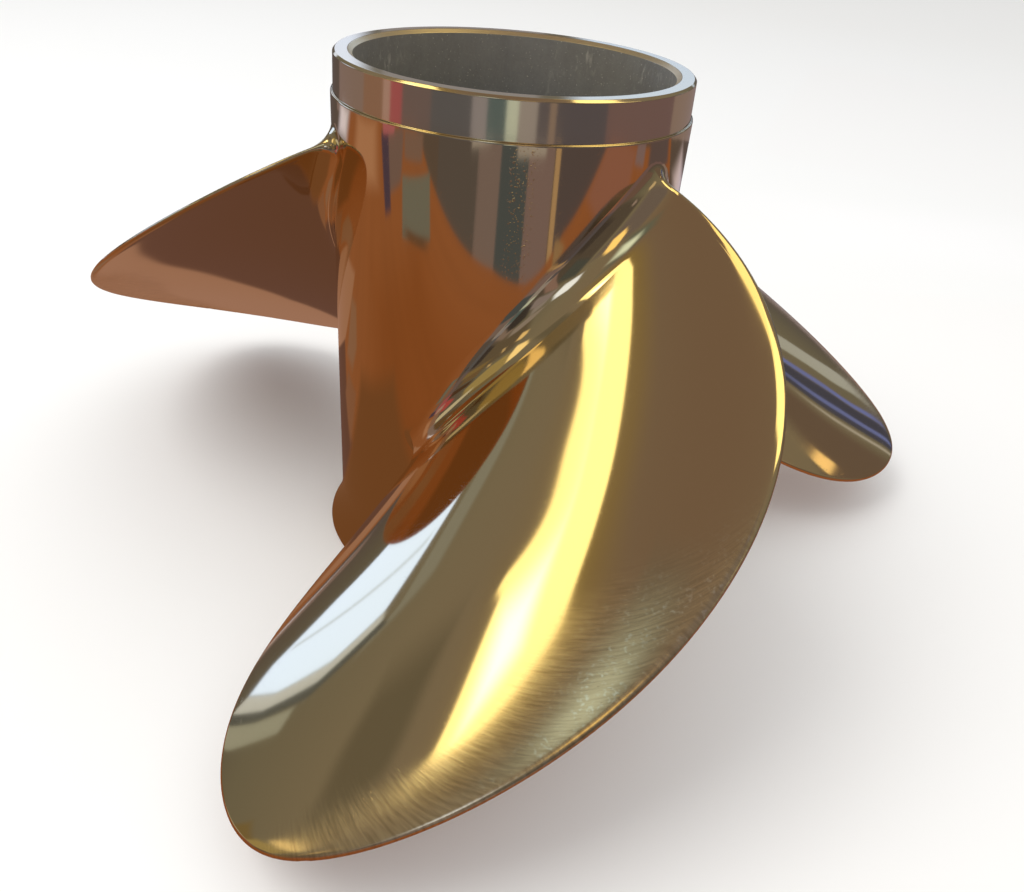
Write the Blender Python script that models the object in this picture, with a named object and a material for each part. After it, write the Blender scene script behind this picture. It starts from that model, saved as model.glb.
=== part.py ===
"""Three-bladed boat propeller with a hollow exhaust barrel.

The propeller stands on its flared aft lip with its machined forward mouth up. The shaft axis is Z,
and the origin lies on it at the propeller's centre of mass. The real barrel, blades, ribs and inner
hub are one casting: here each is a solid of its own, seated 0.3 mm off its neighbour.
"""
import bpy
import bmesh
from math import atan2, cos, hypot, pi, radians, sin, sqrt
from mathutils import Matrix, Vector

# Places along the shaft, in metres above the aft lip
LENGTH = 0.1807
SHOULDER = 0.1682
FLARE_TOP = 0.018
HUB_AFT, HUB_FRONT = 0.038, 0.160
RIB_AFT, RIB_FRONT = 0.046, 0.150
BUSHING_AFT, BUSHING_FRONT = 0.052, 0.148
SLEEVE_AFT, SLEEVE_FRONT = 0.046, 0.154
CENTRE_OF_MASS = 0.0921

# Barrel and flare
SHOULDER_RADIUS = 0.0600
BAND_RADIUS = 0.0592
TAPER = 0.0207
FACE_OUTER_RADIUS, FACE_INNER_RADIUS = 0.0584, 0.0544
BORE_FRONT_RADIUS, BORE_AFT_RADIUS = 0.0528, 0.0504
BEVEL_DEPTH = 0.0012
CHAMFER = 0.0008
FLARE_RADIUS = 0.0622
LIP_THICKNESS = 0.0034
LIP_ROUND = 0.0014

# Inner hub, bushing and sleeve
HUB_RADIUS, HUB_BORE_RADIUS = 0.0310, 0.0252
RIB_THICKNESS = 0.0075
SLEEVE_RADIUS = 0.0185
SPLINE_TEETH = 15
SPLINE_MAJOR_RADIUS, SPLINE_MINOR_RADIUS = 0.0160, 0.0142
SEAT_GAP = 0.0003

# Blades, read at the root, at one and two thirds of the blade's height, and at the tip
BLADES = 3
TIP_RADIUS = 0.1936
MIDLINE_ANGLE = (16.0, 10.8, 1.7, -10.8)
HALF_WIDTH_ANGLE = (36.9, 37.7, 34.5, 22.4)
MIDLINE_HEIGHT = (0.1088, 0.0937, 0.0771, 0.0623)
PITCH = (0.457, 0.455, 0.464, 0.483)
OUTLINE_POWER = 2.48
CAMBER = 0.032
ROOT_THICKNESS = 0.0090
EDGE_THICKNESS = 0.0022
THINNING_POWER, FULLNESS_POWER = 0.8, 0.9
SIDE_FILLET, EDGE_FILLET = 0.0085, 0.0040
FOLLOW_HEIGHT = 1.5 * SIDE_FILLET

# Facets
TURN_STEPS = 72
HUB_STEPS = 48
FLARE_STEPS = 5
RIB_STEPS = 4
CHORD_STEPS = 18
EDGE_STEPS = 4
FILLET_HEIGHTS = (0.0, 0.0004, 0.0014, 0.0031, 0.0055, 0.0085)
SPAN_STEPS = 20
LAST_RISE = 0.965

# Distance, in shares of the blade, over which directions are read off its middle surface
READING_STEP = 0.005


def material(name, colour, metallic, roughness):
    """One plain finish."""
    finish = bpy.data.materials.new(name)
    finish.use_nodes = True
    shader = finish.node_tree.nodes["Principled BSDF"]
    shader.inputs["Base Color"].default_value = (*colour, 1)
    shader.inputs["Metallic"].default_value = metallic
    shader.inputs["Roughness"].default_value = roughness
    return finish


def add_object(name, bm, finish, sharp=35):
    """Shift a finished mesh to the origin's height and place it in the scene."""
    bmesh.ops.translate(bm, verts=bm.verts, vec=(0, 0, -CENTRE_OF_MASS))
    bmesh.ops.recalc_face_normals(bm, faces=bm.faces)
    mesh = bpy.data.meshes.new(name)
    bm.to_mesh(mesh)
    bm.free()
    mesh.shade_smooth()
    mesh.set_sharp_from_angle(angle=radians(sharp))
    mesh.materials.append(finish)
    piece = bpy.data.objects.new(name, mesh)
    bpy.context.collection.objects.link(piece)
    return piece


def turned(name, profile, finish, steps):
    """Spin a closed profile of (radius, height) points about the shaft axis."""
    bm = bmesh.new()
    corners = [bm.verts.new((radius, 0, height)) for radius, height in profile]
    edges = [bm.edges.new((a, b)) for a, b in zip(corners, corners[1:] + corners[:1])]
    bmesh.ops.spin(bm, geom=corners + edges, axis=(0, 0, 1), cent=(0, 0, 0),
                   angle=2 * pi, steps=steps, use_merge=True)
    return add_object(name, bm, finish)


def barrel_radius(height):
    """Outside radius of the tapered barrel."""
    return SHOULDER_RADIUS - TAPER * (SHOULDER - height)


def bore_radius(height):
    """Radius of the rough bore, which narrows towards the aft end."""
    along = (height - FLARE_TOP) / (LENGTH - BEVEL_DEPTH - FLARE_TOP)
    return BORE_AFT_RADIUS + (BORE_FRONT_RADIUS - BORE_AFT_RADIUS) * along


def make_barrel(finish):
    """Outer exhaust tube: flat forward face, register band, shoulder and tapered body."""
    aft = FLARE_TOP + SEAT_GAP
    turned("barrel", [
        (FACE_OUTER_RADIUS, LENGTH),
        (BAND_RADIUS, LENGTH - CHAMFER),
        (BAND_RADIUS, SHOULDER),
        (SHOULDER_RADIUS - CHAMFER / 4, SHOULDER),
        (SHOULDER_RADIUS, SHOULDER - CHAMFER / 2),
        (barrel_radius(aft), aft),
        (bore_radius(aft), aft),
        (BORE_FRONT_RADIUS, LENGTH - BEVEL_DEPTH),
        (FACE_INNER_RADIUS, LENGTH),
    ], finish, TURN_STEPS)


def flare_outline(height):
    """Outside and inside radius of the flare, which opens in a hollow curve towards the lip."""
    opened = (1 - height / FLARE_TOP) ** 2
    wall = barrel_radius(FLARE_TOP) - BORE_AFT_RADIUS
    outside = barrel_radius(FLARE_TOP) + (FLARE_RADIUS - barrel_radius(FLARE_TOP)) * opened
    return outside, outside - wall - (LIP_THICKNESS - wall) * opened


def make_flare_ring(finish):
    """Flared aft lip that the propeller stands on."""
    heights = [FLARE_TOP * step / FLARE_STEPS for step in range(FLARE_STEPS, 0, -1)]
    lip_outside, lip_inside = flare_outline(0)
    outer = [(flare_outline(height)[0], height) for height in heights]
    lip = [(lip_outside, LIP_ROUND), (lip_outside - LIP_ROUND, 0), (lip_inside, 0)]
    inner = [(flare_outline(height)[1], height) for height in reversed(heights)]
    turned("flare_ring", outer + lip + inner, finish, TURN_STEPS)


def make_hub_parts(cast, rubber, brass):
    """Inner hub, the rubber bushing pressed in it and the splined sleeve bonded in the rubber."""
    turned("inner_hub", [
        (HUB_RADIUS, HUB_FRONT - CHAMFER),
        (HUB_RADIUS, HUB_AFT + CHAMFER),
        (HUB_RADIUS - CHAMFER, HUB_AFT),
        (HUB_BORE_RADIUS, HUB_AFT),
        (HUB_BORE_RADIUS, HUB_FRONT),
        (HUB_RADIUS - CHAMFER, HUB_FRONT),
    ], cast, HUB_STEPS)
    outside = HUB_BORE_RADIUS - SEAT_GAP
    turned("rubber_bushing", [
        (outside - CHAMFER, BUSHING_FRONT),
        (outside, BUSHING_FRONT - CHAMFER),
        (outside, BUSHING_AFT + CHAMFER),
        (outside - CHAMFER, BUSHING_AFT),
        (SLEEVE_RADIUS + SEAT_GAP, BUSHING_AFT),
        (SLEEVE_RADIUS + SEAT_GAP, BUSHING_FRONT),
    ], rubber, HUB_STEPS)
    make_sleeve(brass)


def make_sleeve(finish):
    """Sleeve with straight spline teeth cut along its bore, four corners to a tooth."""
    bm = bmesh.new()
    corners = SPLINE_TEETH * 4
    tooth = (SPLINE_MAJOR_RADIUS, SPLINE_MAJOR_RADIUS, SPLINE_MINOR_RADIUS, SPLINE_MINOR_RADIUS)
    rings = []
    for radii in (tooth, (SLEEVE_RADIUS,) * 4):
        points = []
        for corner in range(corners):
            angle = 2 * pi * corner / corners
            radius = radii[corner % 4]
            points.append(bm.verts.new((radius * cos(angle), radius * sin(angle), SLEEVE_AFT)))
        rings += [bm.edges.new((a, b)) for a, b in zip(points, points[1:] + points[:1])]
    end = bmesh.ops.bridge_loops(bm, edges=rings)["faces"]
    top = bmesh.ops.extrude_face_region(bm, geom=end)["geom"]
    raised = [part for part in top if isinstance(part, bmesh.types.BMVert)]
    bmesh.ops.translate(bm, verts=raised, vec=(0, 0, SLEEVE_FRONT - SLEEVE_AFT))
    add_object("splined_sleeve", bm, finish)


def make_rib(name, finish, turn):
    """Rib that joins the inner hub to the barrel, curved to both walls."""
    bm = bmesh.new()
    halves = [RIB_THICKNESS * (step / RIB_STEPS - 0.5) for step in range(RIB_STEPS + 1)]
    inner_radius = HUB_RADIUS + SEAT_GAP

    def across(height):
        outer_radius = bore_radius(height) - SEAT_GAP
        inner = [(sqrt(inner_radius ** 2 - half ** 2) + SEAT_GAP / 2, half) for half in halves]
        outer = [(sqrt(outer_radius ** 2 - half ** 2) - SEAT_GAP / 2, half) for half in halves]
        return [bm.verts.new((x, y, height)) for x, y in inner + outer[::-1]]

    ends = [across(RIB_AFT), across(RIB_FRONT)]
    edges = [bm.edges.new((a, b)) for loop in ends for a, b in zip(loop, loop[1:] + loop[:1])]
    bmesh.ops.bridge_loops(bm, edges=edges)
    bmesh.ops.holes_fill(bm, edges=bm.edges)
    bmesh.ops.rotate(bm, verts=bm.verts, matrix=Matrix.Rotation(turn, 3, "Z"))
    add_object(name, bm, finish)


def at_height(stations, along):
    """Smooth curve through four values read at 0, 1/3, 2/3 and 1 of the blade's height."""
    total = 0.0
    for index, value in enumerate(stations):
        weight = 1.0
        for other in range(4):
            if other != index:
                weight *= (3 * along - other) / (index - other)
        total += value * weight
    return total


def midsurface(rise, chordwise):
    """Point on the blade's middle surface.

    rise runs from the root, 0, to the tip, 1, slowing down towards the tip so that lines drawn on
    the blade stay evenly spaced round it. chordwise runs from the trailing edge, -1, to the leading
    edge, 1. The surface is a helix of the stated pitch, arched towards its forward side.
    """
    along = 1 - (1 - rise) ** 2
    half_width = radians(at_height(HALF_WIDTH_ANGLE, along)) * sqrt(1 - along ** OUTLINE_POWER)
    angle = radians(at_height(MIDLINE_ANGLE, along)) + chordwise * half_width
    edge = TIP_RADIUS - EDGE_THICKNESS / 2
    chord = 2 * half_width * (SHOULDER_RADIUS + along * (edge - SHOULDER_RADIUS))
    helix = at_height(PITCH, along) / (2 * pi) * (angle - radians(MIDLINE_ANGLE[0]))
    height = at_height(MIDLINE_HEIGHT, along) + helix + CAMBER * (1 - chordwise ** 2) * chord
    root = barrel_radius(height) + SEAT_GAP
    return on_cylinder(root + along * (edge - root), angle - pi / 2, height)


def on_cylinder(radius, angle, height):
    """Point at a radius and an angle about the shaft."""
    return Vector((radius * cos(angle), radius * sin(angle), height))


def fillet(above, radius):
    """How far a root fillet stands out from the blade at a height above the barrel."""
    down = radius - max(above, SEAT_GAP)
    return radius - sqrt(radius ** 2 - down ** 2) if down > 0 else 0.0


def skin_point(rise, chordwise, side, at_tip):
    """Point on the blade's skin; side runs from the pressure side, -1, to the suction side, 1.

    The thickness is laid off square to the middle surface, and the outline is rounded outwards from
    it. Close to the root both follow the barrel, so that the fillet's foot lies on it.
    """
    inner_rise = min(max(rise, READING_STEP), 1 - 4 * READING_STEP)
    inner_chord = min(max(chordwise, READING_STEP - 1), 1 - READING_STEP)
    chord_line = (midsurface(inner_rise, inner_chord + READING_STEP)
                  - midsurface(inner_rise, inner_chord - READING_STEP))
    rise_line = (midsurface(inner_rise + READING_STEP, chordwise)
                 - midsurface(inner_rise - READING_STEP, chordwise))
    normal = chord_line.cross(rise_line).normalized()
    middle = midsurface(rise, chordwise)
    along = 1 - (1 - rise) ** 2
    above = along * (TIP_RADIUS - EDGE_THICKNESS / 2 - SHOULDER_RADIUS)
    thickest = ROOT_THICKNESS + (EDGE_THICKNESS - ROOT_THICKNESS) * along ** THINNING_POWER
    fullness = max(0.0, 1 - chordwise ** 2) ** FULLNESS_POWER
    half = (EDGE_THICKNESS + (thickest - EDGE_THICKNESS) * fullness) / 2
    if at_tip:
        outward = chord_line.cross(normal).normalized()
        outward *= 1 if outward.dot(rise_line) > 0 else -1
    else:
        outward = normal.cross(rise_line).normalized()
        outward *= 1 if outward.dot(chord_line) * chordwise > 0 else -1
    rounded = at_tip or abs(chordwise) == 1
    turn = side * pi / 2
    thick_share, out_share = (sin(turn), cos(turn)) if rounded else (side, 0.0)
    body = half * (thick_share * normal + out_share * outward)
    radial = Vector((middle.x, middle.y, 0)).normalized()
    around = Vector((0, 0, 1)).cross(radial)
    foot = (fillet(above, SIDE_FILLET) * thick_share * normal
            + fillet(above, EDGE_FILLET) * out_share * outward)
    foot -= foot.dot(radial) * radial
    near = min(1.0, above / FOLLOW_HEIGHT)
    move = body + foot
    radius = hypot(middle.x, middle.y)
    angle = atan2(middle.y, middle.x) + move.dot(around) / radius
    height = middle.z + move.z
    follow = barrel_radius(height) - barrel_radius(middle.z)
    radius += near * body.dot(radial) + (1 - near) * follow
    return on_cylinder(radius, angle, height)


def make_blade(name, finish, turn):
    """Blade grown from its seat on the barrel by extruding one section after another."""
    bm = bmesh.new()
    bmesh.ops.create_grid(bm, x_segments=CHORD_STEPS, y_segments=EDGE_STEPS, size=1)
    chord_place = bm.verts.layers.float.new("chord_place")
    side_place = bm.verts.layers.float.new("side_place")
    for vert in bm.verts:
        vert[chord_place] = sin(vert.co.x * pi / 2)
        vert[side_place] = vert.co.y

    def place(verts, rise, at_tip=False):
        for vert in verts:
            chordwise = round(vert[chord_place], 5)
            vert.co = skin_point(rise, chordwise, vert[side_place], at_tip)

    span = TIP_RADIUS - SHOULDER_RADIUS
    rises = [1 - sqrt(1 - height / span) for height in FILLET_HEIGHTS]
    above_fillet = rises[-1]
    for step in range(1, SPAN_STEPS + 1):
        rises.append(above_fillet + (LAST_RISE - above_fillet) * step / SPAN_STEPS)
    place(bm.verts, 0.0)
    seat = list(bm.faces)
    cap = seat
    for rise in rises[1:]:
        grown = bmesh.ops.extrude_face_region(bm, geom=cap)["geom"]
        if cap is not seat:
            bmesh.ops.delete(bm, geom=cap, context="FACES")
        cap = [part for part in grown if isinstance(part, bmesh.types.BMFace)]
        verts = [part for part in grown if isinstance(part, bmesh.types.BMVert)]
        place(verts, rise, at_tip=rise == rises[-1])
    bmesh.ops.rotate(bm, verts=bm.verts, matrix=Matrix.Rotation(turn, 3, "Z"))
    bm.verts.layers.float.remove(bm.verts.layers.float["chord_place"])
    bm.verts.layers.float.remove(bm.verts.layers.float["side_place"])
    add_object(name, bm, finish, sharp=50)


for old in list(bpy.data.objects):
    bpy.data.objects.remove(old)

polished = material("polished bronze", (0.80, 0.66, 0.42), 1.0, 0.12)
as_cast = material("as-cast bronze", (0.34, 0.33, 0.28), 0.75, 0.6)
rubber = material("rubber", (0.02, 0.02, 0.02), 0.0, 0.7)
brass = material("brass", (0.75, 0.58, 0.30), 1.0, 0.3)

make_barrel(polished)
make_flare_ring(polished)
make_hub_parts(as_cast, rubber, brass)
for number in range(BLADES):
    make_blade(f"blade_{number + 1}", polished, 2 * pi * number / BLADES)
    make_rib(f"rib_{number + 1}", as_cast, pi / 6 + 2 * pi * number / BLADES)
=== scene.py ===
"""Looks of the polished three-bladed propeller.

Heights are in metres above the aft lip that it stands on, radii are from the shaft axis, and every
finished mesh is lowered at the end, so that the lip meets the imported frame's lowest point.
"""
from functools import lru_cache
from math import atan2, cos, exp, hypot, pi, radians, sin, sqrt, tan

import bmesh
import bpy
from mathutils import Matrix, Vector


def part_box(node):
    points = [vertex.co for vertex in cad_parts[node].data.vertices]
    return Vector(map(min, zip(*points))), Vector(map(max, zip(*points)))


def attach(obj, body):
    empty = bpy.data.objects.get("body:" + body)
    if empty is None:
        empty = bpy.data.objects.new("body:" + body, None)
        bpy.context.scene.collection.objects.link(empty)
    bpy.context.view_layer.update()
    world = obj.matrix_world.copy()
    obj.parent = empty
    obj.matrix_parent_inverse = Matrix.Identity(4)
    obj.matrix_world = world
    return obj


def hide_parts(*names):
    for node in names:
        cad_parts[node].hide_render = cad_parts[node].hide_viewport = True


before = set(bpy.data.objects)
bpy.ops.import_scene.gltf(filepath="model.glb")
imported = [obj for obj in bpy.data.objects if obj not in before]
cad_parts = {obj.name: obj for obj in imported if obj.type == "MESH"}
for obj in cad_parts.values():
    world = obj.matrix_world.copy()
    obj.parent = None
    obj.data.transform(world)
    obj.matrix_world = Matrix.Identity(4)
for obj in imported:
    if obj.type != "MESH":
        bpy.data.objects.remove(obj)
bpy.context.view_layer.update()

# Places along the shaft, read from the frame
AFT_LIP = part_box("flare_ring")[0].z
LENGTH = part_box("barrel")[1].z - AFT_LIP
FLARE_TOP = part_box("flare_ring")[1].z - AFT_LIP
HUB_AFT, HUB_FRONT = (corner.z - AFT_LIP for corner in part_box("inner_hub"))
RIB_AFT, RIB_FRONT = (corner.z - AFT_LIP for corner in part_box("rib_1"))
BUSHING_AFT, BUSHING_FRONT = (corner.z - AFT_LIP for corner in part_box("rubber_bushing"))
SLEEVE_AFT, SLEEVE_FRONT = (corner.z - AFT_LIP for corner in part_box("splined_sleeve"))

# Barrel and flare
SHOULDER = 0.1682
SHOULDER_RADIUS = 0.0600
BAND_RADIUS = 0.0592
TAPER = 0.0207
FACE_OUTER_RADIUS, FACE_INNER_RADIUS = 0.0584, 0.0544
BORE_FRONT_RADIUS, BORE_AFT_RADIUS = 0.0528, 0.0504
BEVEL_DEPTH = 0.0012
CHAMFER = 0.0008
FLARE_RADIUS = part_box("flare_ring")[1].x
LIP_THICKNESS = 0.0034
LIP_ROUND = 0.0014
CORNER_ROUND = 0.00025
SHOULDER_ROUND = 0.00045

# Inner hub, bushing and sleeve
HUB_RADIUS, HUB_BORE_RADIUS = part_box("inner_hub")[1].x, 0.0252
RIB_THICKNESS = 0.0075
RIB_FILLET = 0.005
SLEEVE_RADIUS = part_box("splined_sleeve")[1].x
SPLINE_TEETH = 15
SPLINE_MAJOR_RADIUS, SPLINE_MINOR_RADIUS = 0.0160, 0.0142

# Blades, read at the root, at one and two thirds of the blade's height, and at the tip
BLADES = 3
TIP_RADIUS = 0.1936
MIDLINE_ANGLE = (16.0, 10.8, 1.7, -10.8)
HALF_WIDTH_ANGLE = (36.9, 37.7, 34.5, 22.4)
MIDLINE_HEIGHT = (0.1088, 0.0937, 0.0771, 0.0623)
PITCH = (0.457, 0.455, 0.464, 0.483)
OUTLINE_POWER = 2.48
CAMBER = 0.032
ROOT_THICKNESS = 0.0090
EDGE_THICKNESS = 0.0022
THINNING_POWER, FULLNESS_POWER = 0.8, 0.9
SIDE_FILLET, EDGE_FILLET = 0.0085, 0.0040
FOLLOW_HEIGHT = 1.5 * SIDE_FILLET
FOOT_LIFT = 0.000003
NOSE_STRETCH = 1.7

# Polishing strokes rise across a blade by this slope and bend, in metres
STROKE_SLOPE, STROKE_BEND = 0.55, 5.0

# Shallow hollows left by hand grinding: chordwise and outward place, depth, reach, in metres
HOLLOWS = (
    (-0.006, 0.056, 0.00032, 0.014),
    (0.040, 0.068, 0.00012, 0.010),
    (0.028, 0.088, 0.00008, 0.008),
    (-0.032, 0.092, 0.00007, 0.010),
    (0.046, 0.103, 0.00008, 0.007),
    (-0.012, 0.112, 0.00007, 0.008),
    (0.058, 0.048, 0.00010, 0.012),
)

# Facets
TURN_STEPS = 288
BARREL_ROWS, FLARE_ROWS = 44, 12
HUB_STEPS = 128
ARC_STEPS = 5
RIB_ARC_STEPS, RIB_ROWS = 6, 12
CHORD_STEPS = 100
EDGE_STEPS = 10
FILLET_STEPS = 14
SPAN_STEPS = 84
LAST_RISE = 0.985

# Distance, in shares of the blade, over which directions are read off its middle surface
READING_STEP = 0.005

# Edges that turn more than this are shaded sharp, or are rims to break, in degrees
SHARP_ANGLE = 50
RIM_ANGLE = 80

# Camera, measured from the photograph: distance from the axis, height above the mouth, angles
CAMERA_DISTANCE = 0.3434
CAMERA_ABOVE_MOUTH = 0.058875
CAMERA_TURN, CAMERA_PITCH, CAMERA_ROLL = 0.0309, 0.5410, 0.0942
FOCAL_PIXELS = 993.35
IMAGE_WIDTH = 1024
SENSOR_WIDTH = 36.0

# Stage, in metres: half width of the floor, height between layers of cards that lie on it, usual
# distance of the cards that hang, and the rings of uprights that are laid out on the floor
FLOOR_REACH = 6
LAYER_HEIGHT = 0.0004
CARD_DISTANCE = 1.8
NEAR_RING = (0.325, 0.70)
FAR_RING = (0.70, 1.30)
SECTOR_ANGLE = 12
KEY_PLACE = Vector((-1.1, -0.5, 1.7))

# Colours of the metals and the rubber, and of a painted highlight on the bronze
BRONZE = (0.80, 0.66, 0.42)
BRONZE_DULL = (0.58, 0.45, 0.27)
# Painted highlight: pale glint colour for the flecks in the bronze's satin
BRONZE_PAINTED_GLINT = (0.98, 0.96, 0.80)
BRONZE_PALE = (0.82, 0.71, 0.50)
CAST_DARK = (0.25, 0.245, 0.225)
CAST_PALE = (0.47, 0.46, 0.43)
CAST_SPECK = (0.85, 0.82, 0.74)
RUBBER_BLACK = (0.016, 0.016, 0.017)
RUBBER_DUSTY = (0.045, 0.044, 0.042)
BRASS_CLEAN = (0.80, 0.60, 0.26)
BRASS_STAINED = (0.52, 0.36, 0.16)


class Wire:
    """An output socket of a material, with the arithmetic that its patterns need."""

    def __init__(self, tree, socket=None):
        self.tree = tree
        self.socket = socket

    def node(self, kind, settings, sockets, output=0):
        """Add a node: its settings first, then the values or wires of its sockets."""
        made = self.tree.nodes.new("ShaderNode" + kind)
        for setting, value in settings.items():
            if setting == "stops":
                ramp = made.color_ramp.elements
                for index, (place, colour) in enumerate(value):
                    stop = ramp[index] if index < 2 else ramp.new(place)
                    stop.position = place
                    stop.color = (*colour, 1)
            else:
                setattr(made, setting, value)
        for socket, value in sockets.items():
            if isinstance(value, Wire):
                self.tree.links.new(value.socket, made.inputs[socket])
            elif isinstance(value, tuple) and made.inputs[socket].type == "RGBA":
                made.inputs[socket].default_value = (*value[:3], 1)
            else:
                made.inputs[socket].default_value = value
        return Wire(self.tree, made.outputs[output])

    def math(self, operation, *values):
        """A Math node on this wire and up to two more values."""
        return self.node("Math", {"operation": operation},
                         dict(enumerate((self, *values))))

    def __add__(self, other):
        return self.math("ADD", other)

    __radd__ = __add__

    def __sub__(self, other):
        return self.math("SUBTRACT", other)

    def __rsub__(self, other):
        return (self * -1).math("ADD", other)

    def __mul__(self, other):
        return self.math("MULTIPLY", other)

    __rmul__ = __mul__

    def step(self, low, high):
        """Smooth step from 0 at low to 1 at high."""
        return self.node("MapRange", {"interpolation_type": "SMOOTHSTEP"},
                         {"Value": self, "From Min": low, "From Max": high})

    def stretched(self, across):
        """The same coordinates, scaled on each axis."""
        return self.node("VectorMath", {"operation": "MULTIPLY"}, {0: self, 1: across})

    def noise(self, scale, detail=2.0, rough=0.5):
        """Cloudy noise on these coordinates, from 0 to 1."""
        return self.node("TexNoise", {},
                         {"Vector": self, "Scale": scale, "Detail": detail, "Roughness": rough})

    def tint(self, first, second):
        """Colour that runs from first to second as this wire goes from 0 to 1."""
        return self.node("Mix", {"data_type": "RGBA"}, {0: self, 6: first, 7: second}, output=2)

    def bump(self, distance, base=None):
        """Surface direction after this wire's relief, in metres, on top of another relief."""
        sockets = {"Height": self, "Distance": distance, "Strength": 1.0}
        if base:
            sockets["Normal"] = base
        return self.node("Bump", {}, sockets)


def new_finish(name, **constants):
    """A Principled finish with constant sockets set; returns it with a wire to start from."""
    finish = bpy.data.materials.new(name)
    finish.use_nodes = True
    shader = finish.node_tree.nodes["Principled BSDF"]
    for socket, value in constants.items():
        shader.inputs[socket.replace("_", " ")].default_value = value
    return finish, Wire(finish.node_tree)


def wear(finish, **links):
    """Plug wires into the finish's Principled sockets."""
    shader = finish.node_tree.nodes["Principled BSDF"]
    for socket, wire in links.items():
        finish.node_tree.links.new(wire.socket, shader.inputs[socket.replace("_", " ")])
    return finish


def polished_bronze(name, satin_share, pit_share):
    """Hand-polished casting: a mirror, with stroked satin towards a blade's outer leading corner.

    Casting pits are left open in one upright strip of the barrel. The polish map holds metres along
    the chord and outwards on a blade, and round the shaft and upwards on the barrel.
    """
    finish, start = new_finish(name, Metallic=1.0)
    place = start.node("TexCoord", {}, {}, output="Object")
    polish = start.node("UVMap", {"uv_map": "polish"}, {})
    chordwise = start.node("SeparateXYZ", {}, {"Vector": polish}, output="X")
    outward = start.node("SeparateXYZ", {}, {"Vector": polish}, output="Y")
    cloud = place.noise(14.0, 3.0, 0.6)
    leading = outward.step(0.070, 0.108) * chordwise.step(0.006, 0.030)
    tip = outward.step(0.106, 0.128) * chordwise.step(-0.03, 0.01)
    satin = ((leading + tip) * satin_share + (cloud - 0.5) * 0.6).step(0.15, 0.9)
    across = outward + chordwise * (chordwise * STROKE_BEND - STROKE_SLOPE)
    strokes = start.node("CombineXYZ", {}, {"X": chordwise, "Y": across})
    grain = strokes.stretched((95.0, 1900.0, 1.0)).noise(1.0, 2.0, 0.6)
    # Painted highlight: pale flecks, gathered in patches, stand in for glints of light in the satin
    glint_clusters = place.noise(230.0, 2.0, 0.5).step(0.38, 0.60)
    painted_glint_fleck = place.noise(900.0, 1.0, 0.5).step(0.50, 0.78) * glint_clusters
    scratch = strokes.stretched((420.0, 3200.0, 1.0)).noise(1.0, 1.0, 0.5).step(0.71, 0.77)
    strip = (chordwise + 0.0895).math("ABSOLUTE").step(0.0045, 0.0025) * outward.step(0.125, 0.14)
    pits = place.noise(1500.0, 1.0, 0.5).step(0.64, 0.70) * strip * pit_share
    rough = 0.045 + 0.12 * satin + 0.06 * satin * grain + 0.03 * cloud
    stroked = (0.95 + (grain - 0.60) * satin * 2.5).tint(BRONZE_DULL, BRONZE)
    # The base colour turns towards the pale painted glint in the satin flecks
    colour = (painted_glint_fleck * satin * chordwise.step(0.02, 0.045) * 0.65).tint(stroked, BRONZE_PAINTED_GLINT)
    relief = (grain * satin + scratch * (0.2 + satin)).bump(0.000006)
    return wear(finish, Base_Color=colour, Roughness=rough, Normal=pits.bump(0.0001, base=relief))


def turned_bronze():
    """Machined mouth: fine rings of the lathe tool on a paler, cleaner cut."""
    finish, start = new_finish("turned bronze", Metallic=1.0)
    place = start.node("TexCoord", {}, {}, output="Object")
    flat = place.stretched((1.0, 1.0, 0.0))
    radius = flat.node("VectorMath", {"operation": "LENGTH"}, {0: flat}, output="Value")
    height = start.node("SeparateXYZ", {}, {"Vector": place}, output="Z")
    rings = start.node("CombineXYZ", {}, {"X": radius * 5200.0, "Y": height * 5200.0})
    cut = rings.noise(1.0, 2.0, 0.7)
    cloud = place.noise(60.0, 3.0, 0.6)
    bevel = radius.step(FACE_INNER_RADIUS, FACE_INNER_RADIUS - CORNER_ROUND)
    rough = 0.05 + 0.06 * cut + 0.03 * cloud + 0.26 * bevel
    colour = (cut * 0.5 + cloud * 0.5).tint(BRONZE, BRONZE_PALE)
    return wear(finish, Base_Color=colour, Roughness=rough, Normal=cut.bump(0.000003))


def cast_bronze():
    """Skin of the sand mould: dark grey, rough, with bright specks, smears and runs downwards."""
    finish, start = new_finish("cast bronze", Metallic=0.75)
    place = start.node("TexCoord", {}, {}, output="Object")
    sand = place.noise(900.0, 4.0, 0.65)
    lumps = place.noise(120.0, 3.0, 0.5)
    runs = place.stretched((260.0, 260.0, 30.0)).noise(1.0, 3.0, 0.6)
    specks = place.noise(1500.0, 1.0).step(0.70, 0.76)
    shade = (sand * 0.4 + runs * 0.3 + lumps * 0.4).tint(CAST_DARK, CAST_PALE)
    patches = place.noise(45.0, 2.0, 0.5).step(0.46, 0.62)
    smears = place.stretched((520.0, 520.0, 170.0)).noise(1.0, 2.0, 0.6).step(0.56, 0.72) * patches
    colour = (specks * 0.8 + smears * 0.45).tint(shade, CAST_SPECK)
    rough = 0.62 - 0.28 * specks - 0.12 * runs
    relief = (sand * 0.6 + lumps).bump(0.00022, base=specks.bump(0.00008))
    return wear(finish, Base_Color=colour, Roughness=rough, Normal=relief)


def bushing_rubber():
    """Black moulded rubber with a dusty bloom."""
    finish, start = new_finish("bushing rubber", Metallic=0.0, Specular_IOR_Level=0.4)
    place = start.node("TexCoord", {}, {}, output="Object")
    bloom = place.noise(90.0, 4.0, 0.6)
    pores = place.noise(1600.0, 2.0, 0.6)
    colour = bloom.step(0.4, 0.8).tint(RUBBER_BLACK, RUBBER_DUSTY)
    rough = 0.5 + 0.25 * bloom
    return wear(finish, Base_Color=colour, Roughness=rough, Normal=pores.bump(0.00004))


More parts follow.
